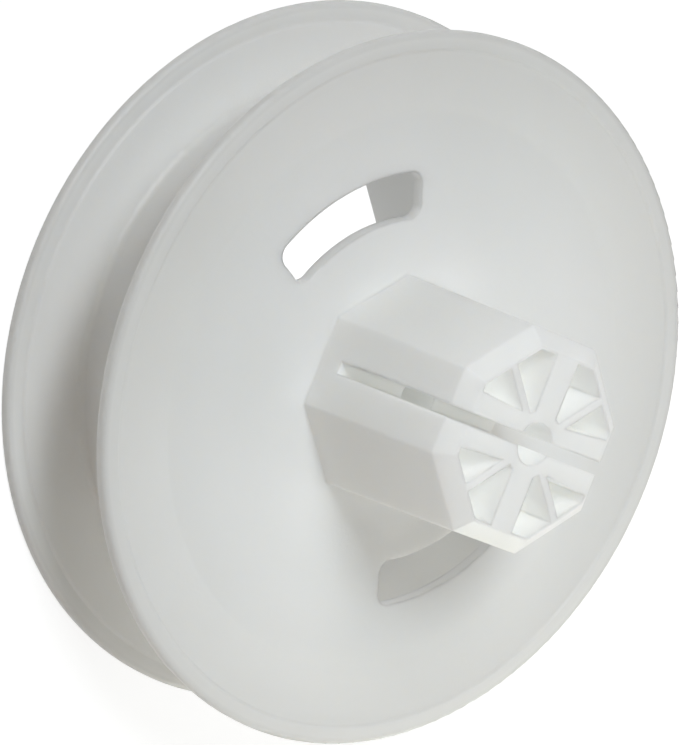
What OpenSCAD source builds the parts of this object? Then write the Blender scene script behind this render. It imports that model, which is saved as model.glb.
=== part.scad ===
// Belt pulley for a roller shutter with an octagonal 40 mm tube
// One piece moulded in natural white plastic: two flanges, a hollow belt drum and a split plug
// Origin: centre of the rear rim, which it stands on. +Z runs along the axis towards the plug.

/* [Flanges] */
// Diameter of both flanges
flange_d = 130; // [120:1:155]
// Thickness of a flange wall
flange_t = 2.3; // [2:0.1:3]
// Clear width between the flanges at the rim, which takes the belt
groove_w = 26.6; // [24:0.2:32]
// How far each flange is dished towards the groove
flange_dish = 1.5; // [1:0.1:2.4]
// Width of the flat band at the rim of each flange
band_w = 3.2; // [2.5:0.1:4.5]
// Step between the flat band and the dished face
band_step = 0.3; // [0.2:0.05:0.6]
// Radius on the edges of the rim
rim_round = 0.7; // [0.3:0.1:0.9]

/* [Belt drum] */
// Diameter of the drum that the belt winds on
drum_d = 101; // [94:0.5:104]
// Thickness of the drum wall
drum_wall = 2.3; // [2:0.1:3]
// Fillet between the drum and each flange
drum_fillet = 1.2; // [0.6:0.1:2]

/* [Kidney slots] */
// Radius of the middle line of the two slots in the front plate
slot_r = 35.6; // [33:0.1:38]
// Width of each slot
slot_w = 8.5; // [5.5:0.1:9.5]
// Radius of the corners at the ends of each slot
slot_corner_r = 2.5; // [1:0.1:4]
// Angle over which each slot runs, measured between the centres of its corners
slot_span = 42; // [20:1:46]
// Direction of the slots, measured from the split of the plug
slot_dir = 135; // [125:0.5:145]

/* [Webs and hub] */
// Clear distance between the two webs behind the front plate
web_gap = 39.2; // [37:0.2:44]
// Thickness of the webs
web_t = 2; // [1.6:0.1:2.6]
// How far the webs stop short of the rear rim
web_setback = 6; // [2:0.2:10]
// Diameter of the hub behind the front plate
hub_d = 16.5; // [14:0.5:20]
// How far the hub stops short of the rear rim
hub_setback = 2; // [0:0.2:8]

/* [Plug] */
// Plug size across flats at the front plate
plug_af = 39.4; // [37:0.1:42]
// Draft of the eight flats in degrees, which lets the 40 mm tube slide on and grip
plug_draft = 1.4; // [0:0.1:2]
// Length of the plug from the front plate to its end
plug_len = 37.2; // [30:0.2:50]
// Rounding of the long edges of the plug
plug_corner_r = 1; // [0.5:0.1:2]
// Lead-in at the end of the plug, measured across it
lead_in_w = 2.9; // [1:0.1:4]
// Lead-in at the end of the plug, measured along the axis
lead_in_h = 2.9; // [1:0.1:6]
// Width of the split that divides the plug
split_w = 2.3; // [1.6:0.1:3]
// Height of the bottom of the split above the front plate
split_root = 5; // [2:0.1:10]
// Diameter of the bore on the axis
bore_d = 7.6; // [6:0.1:9.4]

/* [Plug pockets] */
// Thickness of the outer wall of the plug at its end
plug_wall = 3.2; // [2:0.1:4.2]
// Thickness of the walls along the split, at the bore
split_wall = 3; // [2:0.1:4]
// Thickness of the walls along the split, at the outer wall
split_wall_end = 4.3; // [2:0.1:6]
// Thickness of the wall around the bore
bore_wall = 2.1; // [1.6:0.1:3]
// Width of the two ribs square to the split
cross_rib_w = 5.2; // [3:0.1:7]
// Width of the four diagonal ribs
diag_rib_w = 1.5; // [1.2:0.1:3]
// Thickness of the floor of the pockets above the front plate
pocket_floor = 3; // [2:0.5:10]

/* [Hidden] */
plastic = [0.93, 0.93, 0.91];
eps = 0.01;

body_h = groove_w + 2 * flange_t;
plate_top = body_h - flange_dish;
plate_bottom = plate_top - flange_t;
plug_top = plate_top + plug_len;
drum_inner_r = drum_d / 2 - drum_wall;
// Sizes across flats where the lead-in starts, and at the plug's end if it had no lead-in
lead_in_af = plug_af - 2 * (plug_len - lead_in_h) * tan(plug_draft);
plug_end_af = plug_af - 2 * plug_len * tan(plug_draft);
// The corners of a slot are a touch larger than drawn, so that they cross its sides cleanly
slot_end_r = slot_corner_r + 0.05;
SMOOTH = 128;

// Section of the rear flange, revolved about the axis, from the drum out to the rim
module flange_section() {
    rim_r = flange_d / 2 - rim_round;
    band_in = flange_d / 2 - band_w;
    polygon([
        [drum_inner_r, flange_dish],
        [drum_d / 2, flange_dish],
        [band_in - band_step, band_step],
        [band_in, 0],
        [rim_r, 0],
        [rim_r, flange_t],
        [band_in, flange_t],
        [band_in - band_step, flange_t + band_step],
        [drum_d / 2, flange_t + flange_dish],
        [drum_inner_r, flange_t + flange_dish]
    ]);
    translate([rim_r, rim_round]) circle(r = rim_round, $fn = 48);
    translate([rim_r, flange_t - rim_round]) circle(r = rim_round, $fn = 48);
    translate([rim_r - rim_round, rim_round]) square([2 * rim_round, flange_t - 2 * rim_round]);
}

// Fillet between the drum and the rear flange, tangent to the drum and to the dished face
module drum_corner() {
    dish_w = flange_d / 2 - band_w - band_step - drum_d / 2;
    slope = atan2(flange_dish - band_step, dish_w);
    rise = drum_fillet * (1 - sin(slope)) / cos(slope);
    centre = [drum_d / 2 + drum_fillet, flange_t + flange_dish + rise];
    foot = centre - (drum_fillet + eps) * [sin(slope), cos(slope)];
    difference() {
        polygon([
            [drum_d / 2 - eps, flange_t + flange_dish - eps],
            foot,
            centre,
            [drum_d / 2 - eps, centre[1]]
        ]);
        translate(centre) circle(r = drum_fillet, $fn = 48);
    }
}

// Full section of the flanges, the drum and the front plate
module body_section() {
    for (side = [0, 1]) {
        translate([0, side * body_h]) mirror([0, side]) {
            flange_section();
            drum_corner();
        }
    }
    translate([drum_inner_r, flange_dish]) square([drum_wall, body_h - 2 * flange_dish]);
    translate([0, plate_bottom]) square([drum_inner_r + eps, flange_t]);
}

// Distance from the axis to the rounded corner of an octagon
function corner_reach(af, r) = (af / 2 - r) / cos(22.5) + r;

// Octagon with flats square to X and Y and rounded corners
module octagon(af, r) {
    corner = corner_reach(af, r) - r;
    for (k = [0:7]) {
        rotate(22.5 + 45 * k) translate([corner, 0]) circle(r = r, $fn = 64);
    }
    for (k = [0:3]) {
        rotate(45 * k) square([af, 2 * corner * sin(22.5)], center = true);
    }
}

// Block that cuts one flat: its face starts at half of af at height z and leans in by an angle
module flat_cutter(af, z, lean, below) {
    translate([af / 2, 0, z])
        rotate([0, -lean, 0])
            translate([0, -plug_af / 2, -below]) cube([plug_af, plug_af, plug_len + 2 * below]);
}

// Octagonal plug: a taper with rounded edges, on which eight drafted flats and the lead-in are cut
module plug_solid() {
    difference() {
        translate([0, 0, plate_top - eps])
            cylinder(
                r1 = corner_reach(plug_af, plug_corner_r),
                r2 = corner_reach(plug_end_af, plug_corner_r),
                h = plug_len + eps,
                $fn = SMOOTH
            );
        for (k = [0:7]) {
            rotate(45 * k) {
                flat_cutter(plug_af, plate_top, plug_draft, flange_t);
                flat_cutter(lead_in_af, plug_top - lead_in_h, atan2(lead_in_w, lead_in_h), 0);
            }
        }
    }
}

// Kidney slot through the front plate
module kidney() {
    linear_extrude(3 * flange_t, center = true) {
        difference() {
            circle(r = slot_r + slot_w / 2, $fn = SMOOTH);
            circle(r = slot_r - slot_w / 2, $fn = SMOOTH);
            for (s = [-1, 1]) {
                rotate(s * slot_span / 2)
                    translate([-flange_d, s > 0 ? 0 : -flange_d]) square([2 * flange_d, flange_d]);
            }
        }
        for (s = [-1, 1]) {
            rotate(s * slot_span / 2) {
                translate([slot_r + slot_w / 2 - slot_corner_r, 0]) circle(r = slot_end_r, $fn = 64);
                translate([slot_r - slot_w / 2 + slot_corner_r, 0]) circle(r = slot_end_r, $fn = 64);
                translate([slot_r, 0]) square([slot_w - 2 * slot_corner_r, 2 * slot_corner_r], center = true);
            }
        }
    }
}

// Two straight walls behind the front plate, on both sides of the slots
module webs() {
    chord = 2 * sqrt(pow(drum_inner_r + drum_wall / 2, 2) - pow(web_gap / 2 + web_t, 2));
    for (s = [-1, 1]) {
        translate([-chord / 2, s > 0 ? web_gap / 2 : -web_gap / 2 - web_t, web_setback])
            cube([chord, web_t, plate_bottom + eps - web_setback]);
    }
}

// The two pockets in one quarter of the plug's end
module quarter_pockets() {
    difference() {
        intersection() {
            octagon(plug_end_af - 2 * plug_wall, plug_corner_r);
            polygon([
                [cross_rib_w / 2, split_w / 2 + split_wall],
                [plug_af / 2, split_w / 2 + split_wall_end],
                [plug_af / 2, plug_af / 2],
                [cross_rib_w / 2, plug_af / 2]
            ]);
        }
        circle(d = bore_d + 2 * bore_wall, $fn = 64);
        rotate(45) translate([0, -diag_rib_w / 2]) square([plug_af, diag_rib_w]);
    }
}

module plug_pockets() {
    translate([0, 0, plate_top + pocket_floor]) linear_extrude(plug_len) {
        for (mx = [0, 1]) {
            for (my = [0, 1]) {
                mirror([mx, 0]) mirror([0, my]) quarter_pockets();
            }
        }
    }
}

module belt_pulley() color(plastic) {
    difference() {
        union() {
            rotate_extrude($fn = SMOOTH) body_section();
            plug_solid();
            rotate(slot_dir) webs();
            translate([0, 0, hub_setback]) cylinder(d = hub_d, h = plate_bottom + eps - hub_setback, $fn = SMOOTH);
        }
        translate([0, 0, -1]) cylinder(d = bore_d, h = plug_top + 2, $fn = SMOOTH);
        for (k = [0, 180]) {
            rotate(slot_dir + k) translate([0, 0, plate_top - flange_t / 2]) kidney();
        }
        translate([-plug_af, -split_w / 2, plate_top + split_root]) cube([2 * plug_af, split_w, plug_len]);
        plug_pockets();
    }
}

belt_pulley();
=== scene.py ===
# Belt pulley of a roller shutter, moulded in one piece in natural white plastic
import bpy
from mathutils import Matrix, Vector

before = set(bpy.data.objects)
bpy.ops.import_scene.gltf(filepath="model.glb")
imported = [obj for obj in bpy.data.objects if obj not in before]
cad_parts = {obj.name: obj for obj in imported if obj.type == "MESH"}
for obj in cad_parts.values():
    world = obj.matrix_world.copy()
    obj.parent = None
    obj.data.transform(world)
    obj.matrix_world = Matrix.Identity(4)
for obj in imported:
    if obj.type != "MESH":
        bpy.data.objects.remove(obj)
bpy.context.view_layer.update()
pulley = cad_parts["belt_pulley"]
print("frame loaded, the moulding has", len(pulley.data.polygons), "triangles")

mm = 0.001
white = (1.0, 1.0, 1.0, 1.0)
black = (0.0, 0.0, 0.0, 1.0)


def addNode(tree, kind, **values):
    node = tree.nodes.new(kind)
    for name, value in values.items():
        setattr(node, name, value)
    return node


def setInputs(node, **values):
    for name, value in values.items():
        node.inputs[name.replace("_", " ")].default_value = value


def addMath(tree, operation, *inputs):
    # each input is another node's output or a plain number
    node = addNode(tree, "ShaderNodeMath", operation=operation)
    for socket, value in zip(node.inputs, inputs):
        if isinstance(value, bpy.types.NodeSocket):
            tree.links.new(value, socket)
        else:
            socket.default_value = value
    return node.outputs["Value"]


def addRamp(tree, value, start, end, low=0.0, high=1.0, kind="LINEAR"):
    # goes from low to high while value goes from start to end
    node = addNode(tree, "ShaderNodeMapRange", interpolation_type=kind)
    setInputs(node, From_Min=start, From_Max=end, To_Min=low, To_Max=high)
    tree.links.new(value, node.inputs["Value"])
    return node.outputs["Result"]


def addNoise(tree, place, size, detail):
    node = addNode(tree, "ShaderNodeTexNoise")
    setInputs(node, Scale=size, Detail=detail)
    tree.links.new(place, node.inputs["Vector"])
    return node.outputs["Fac"]


def mixColours(tree, share, first, second):
    # first is another node's output or a colour; the mix node's colour sockets have numbers
    # because its sockets for values and vectors carry the same names
    firstColour, secondColour, mixedColour = 6, 7, 2
    node = addNode(tree, "ShaderNodeMix", data_type="RGBA")
    tree.links.new(share, node.inputs[0])
    if isinstance(first, bpy.types.NodeSocket):
        tree.links.new(first, node.inputs[firstColour])
    else:
        node.inputs[firstColour].default_value = first
    node.inputs[secondColour].default_value = second
    return node.outputs[mixedColour]


# Camera of the photograph: its place, and its own right, up and back directions
viewPoint = {
    "place": (-0.53092, -0.00077, 0.62441),
    "right": (0.70291047, 0.36552669, 0.61016973),
    "up": (-0.27603385, 0.93080086, -0.23961444),
    "back": (-0.65553198, 0.0, 0.75516741),
    "lens": 238.24,
    "sensor": 36.0,
    "farthest": 20,
}


def makeCamera(look):
    data = bpy.data.cameras.new("photoCamera")
    data.sensor_fit = "HORIZONTAL"
    data.sensor_width = look["sensor"]
    data.lens = look["lens"]
    data.clip_end = look["farthest"]
    camera = bpy.data.objects.new("photoCamera", data)
    bpy.context.collection.objects.link(camera)
    turn = Matrix((look["right"], look["up"], look["back"])).transposed().to_4x4()
    camera.matrix_world = Matrix.Translation(look["place"]) @ turn
    bpy.context.scene.camera = camera


makeCamera(viewPoint)
print("camera placed")


plastic = {
    "colour": (0.88, 0.88, 0.87, 1.0),
    "cloudColour": (0.85, 0.855, 0.84, 1.0),
    "cloudSize": 28.0,
    "cloudDetail": 3.0,
    # painted shade: darker colour towards the flange rim and on its outer edge
    "rimShadeColour": (0.75, 0.75, 0.74, 1.0),
    "rimShadeFrom": 38 * mm,
    "rimShadeFull": 66 * mm,
    "edgeShadeColour": (0.66, 0.66, 0.65, 1.0),
    "edgeShadeFrom": 63.6 * mm,
    "edgeShadeFull": 64.6 * mm,
    "roughness": 0.36,
    "refraction": 1.49,
    "scatterDepth": 0.004,
    "scatterTint": (1.0, 0.95, 0.88),
    # painted light: emission glow in the plug's pockets, split and end
    "glowColour": (0.97, 0.985, 1.0, 1.0),
    "glowStrength": 0.1,
    "glowFrom": 0.0,
    "glowFull": 42 * mm,
    "hollowReach": 15 * mm,
    "hollowFrom": 0.8,  # share of open space around a spot at which the glow starts
    "hollowFull": 0.3,
    "hollowSamples": 2,
    "tipFrom": 34 * mm,
    "tipFull": 70 * mm,
    "edgeRound": 0.8 * mm,
    "edgeSamples": 3,
    "grainSize": 1800.0,
    "grainDetail": 2.0,
    "grainHeight": 0.02 * mm,
    "waveSize": 60.0,
    "waveDetail": 1.0,
    "waveHeight": 0.25 * mm,
}


def makePlastic(look):
    material = bpy.data.materials.new("naturalPlastic")
    material.use_nodes = True
    tree = material.node_tree
    link = tree.links.new
    shader = tree.nodes["Principled BSDF"]
    place = addNode(tree, "ShaderNodeTexCoord").outputs["Object"]

    # faint clouds in the tone, as natural plastic has
    clouds = addNoise(tree, place, look["cloudSize"], look["cloudDetail"])
    tone = mixColours(tree, clouds, look["colour"], look["cloudColour"])

    # painted shade: the thin flanges are coloured darker towards the rim, and most on its outer
    # edge
    apart = addNode(tree, "ShaderNodeSeparateXYZ")
    link(place, apart.inputs["Vector"])
    flat = addNode(tree, "ShaderNodeCombineXYZ")
    link(apart.outputs["X"], flat.inputs["X"])
    link(apart.outputs["Y"], flat.inputs["Y"])
    fromAxis = addNode(tree, "ShaderNodeVectorMath", operation="LENGTH")
    link(flat.outputs["Vector"], fromAxis.inputs[0])
    radius = fromAxis.outputs["Value"]
    rimShadeShare = addRamp(tree, radius, look["rimShadeFrom"], look["rimShadeFull"], kind="SMOOTHSTEP")
    tone = mixColours(tree, rimShadeShare, tone, look["rimShadeColour"])
    edgeShadeShare = addRamp(tree, radius, look["edgeShadeFrom"], look["edgeShadeFull"])
    tone = mixColours(tree, edgeShadeShare, tone, look["edgeShadeColour"])
    link(tone, shader.inputs["Base Color"])

    # gentle waves and a fine satin grain over softly rounded edges
    edge = addNode(tree, "ShaderNodeBevel", samples=look["edgeSamples"])
    setInputs(edge, Radius=look["edgeRound"])
    normal = edge.outputs["Normal"]
    for part in ("wave", "grain"):
        height = addNoise(tree, place, look[part + "Size"], look[part + "Detail"])
        bump = addNode(tree, "ShaderNodeBump")
        setInputs(bump, Strength=1.0, Distance=look[part + "Height"])
        link(normal, bump.inputs["Normal"])
        link(height, bump.inputs["Height"])
        normal = bump.outputs["Normal"]
    link(normal, shader.inputs["Normal"])

    # painted light: an emission glow in the pockets and the split, standing in for light let in by
    # the thin walls, and the plug's end glows the brightest
    openSpace = addNode(tree, "ShaderNodeAmbientOcclusion", only_local=True)
    openSpace.samples = look["hollowSamples"]
    setInputs(openSpace, Distance=look["hollowReach"])
    inHollow = addRamp(tree, openSpace.outputs["AO"], look["hollowFrom"], look["hollowFull"])
    inPlug = addRamp(tree, apart.outputs["Z"], look["glowFrom"], look["glowFull"])
    nearTip = addRamp(tree, apart.outputs["Z"], look["tipFrom"], look["tipFull"])
    inside = addMath(tree, "MULTIPLY", inPlug, inHollow)
    share = addMath(tree, "MAXIMUM", inside, nearTip)
    link(mixColours(tree, share, black, look["glowColour"]), shader.inputs["Emission Color"])

    setInputs(shader, Roughness=look["roughness"], IOR=look["refraction"])
    setInputs(shader, Emission_Strength=look["glowStrength"], Subsurface_Weight=1.0)
    setInputs(shader, Subsurface_Radius=look["scatterTint"], Subsurface_Scale=look["scatterDepth"])
    return material


pulley.data.materials[0] = makePlastic(plastic)
print("plastic made")


# The whites are how bright the room and the floor look, the lights are what they give the pulley
studio = {
    "roomWhite": 1.0,
    "roomLight": 0.0,
    "floorSize": 4.0,
    "floorColour": (0.4, 0.4, 0.4, 1.0),
    "floorRoughness": 0.9,
    "floorWhite": 0.76,  # the lamps add the rest, apart from the shadow
    "floorLight": 0.28,
    "drumFloorWhite": 0.98,  # inside the drum, where no lamp reaches the floor that a slot shows
    "drumFloorSize": 49 * mm,
    "drumFloorFade": 10 * mm,
    "aim": (0, 0, 0.03),
    "lightBounces": 32,
    "paleBounces": 24,
}

# towards: direction from the pulley to the lamp; the camera stands on the -X side
lamps = [
    {"name": "keyLamp", "towards": (-0.416, 0.374, 0.829), "away": 1.5,
     "size": 0.4, "watts": 9.75, "colour": (0.89, 0.95, 1.0)},
    {"name": "sideLamp", "towards": (-0.406, 0.579, 0.707), "away": 2.5,
     "size": 0.6, "watts": 10.6, "colour": (1.0, 0.98, 0.94)},
    {"name": "topLamp", "towards": (0.0, 0.0, 1.0), "away": 0.8,
     "size": 0.5, "watts": 0.371, "colour": (0.95, 1.0, 0.9)},
    {"name": "nearLamp", "towards": (-0.94, 0.0, 0.342), "away": 2.5,
     "size": 1.2, "watts": 2.23, "colour": (1.0, 0.78, 0.54)},
    {"name": "lowLamp", "towards": (0.696, -0.696, 0.174), "away": 0.25,
     "size": 0.15, "watts": 0.154, "colour": (0.98, 1.0, 0.87)},
    {"name": "lowFrontLamp", "towards": (0.28, -0.77, 0.574), "away": 0.3,
     "size": 0.15, "watts": 0.0954, "colour": (0.86, 0.94, 1.0)},
    {"name": "lowSideLamp", "towards": (0.0, -0.94, 0.342), "away": 0.35,
     "size": 0.2, "watts": 0.127, "colour": (1.0, 0.83, 0.69)},
    {"name": "rightLamp", "towards": (0.877, -0.155, 0.454), "away": 0.33,
     "size": 0.2, "watts": 0.148, "colour": (1.0, 0.98, 0.97)},
    {"name": "backLamp", "towards": (0.579, 0.579, 0.574), "away": 0.35,
     "size": 0.15, "watts": 0.0636, "colour": (1.0, 0.86, 0.72)},
]


def seenDirectly(tree):
    # 1 for camera, glossy and transmitted rays, which see the white surround
    path = addNode(tree, "ShaderNodeLightPath").outputs
    seen = addMath(tree, "MAXIMUM", path["Is Camera Ray"], path["Is Glossy Ray"])
    return addMath(tree, "MAXIMUM", seen, path["Is Transmission Ray"])


def makeWorld(look):
    world = bpy.data.worlds.new("whiteRoom")
    bpy.context.scene.world = world
    world.use_nodes = True
    tree = world.node_tree
    room = tree.nodes["Background"]
    setInputs(room, Color=white)
    extra = look["roomWhite"] - look["roomLight"]
    strength = addMath(tree, "MULTIPLY_ADD", seenDirectly(tree), extra, look["roomLight"])
    tree.links.new(strength, room.inputs["Strength"])


def makeFloor(look):
    bpy.ops.object.select_all(action="DESELECT")
    bpy.ops.mesh.primitive_plane_add(size=look["floorSize"], location=(0, 0, 0))
    floor = bpy.context.object
    floor.name = "floor"
    material = bpy.data.materials.new("paleFloor")
    material.use_nodes = True
    tree = material.node_tree
    shader = tree.nodes["Principled BSDF"]
    setInputs(shader, Base_Color=look["floorColour"], Roughness=look["floorRoughness"])

    place = addNode(tree, "ShaderNodeTexCoord")
    fromAxis = addNode(tree, "ShaderNodeVectorMath", operation="LENGTH")
    tree.links.new(place.outputs["Object"], fromAxis.inputs[0])
    extra = addRamp(
        tree, fromAxis.outputs["Value"],
        look["drumFloorSize"], look["drumFloorSize"] + look["drumFloorFade"],
        low=look["drumFloorWhite"] - look["floorLight"],
        high=look["floorWhite"] - look["floorLight"],
    )
    strength = addMath(tree, "MULTIPLY_ADD", seenDirectly(tree), extra, look["floorLight"])
    glow = addNode(tree, "ShaderNodeEmission")
    setInputs(glow, Color=white)
    tree.links.new(strength, glow.inputs["Strength"])
    both = addNode(tree, "ShaderNodeAddShader")
    tree.links.new(shader.outputs[0], both.inputs[0])
    tree.links.new(glow.outputs[0], both.inputs[1])
    tree.links.new(both.outputs[0], tree.nodes["Material Output"].inputs["Surface"])
    floor.data.materials.append(material)


def makeLamp(lamp, look):
    data = bpy.data.lights.new(lamp["name"], "AREA")
    data.energy = lamp["watts"]
    data.color = lamp["colour"]
    data.size = lamp["size"]
    light = bpy.data.objects.new(lamp["name"], data)
    bpy.context.collection.objects.link(light)
    way = Vector(lamp["towards"]).normalized()
    light.location = Vector(look["aim"]) + way * lamp["away"]
    light.rotation_euler = way.to_track_quat("Z", "Y").to_euler()


makeWorld(studio)
makeFloor(studio)
for lamp in lamps:
    makeLamp(lamp, studio)
bpy.context.scene.view_settings.view_transform = "Standard"
bpy.context.scene.cycles.max_bounces = studio["lightBounces"]
bpy.context.scene.cycles.diffuse_bounces = studio["paleBounces"]
print("studio lit")
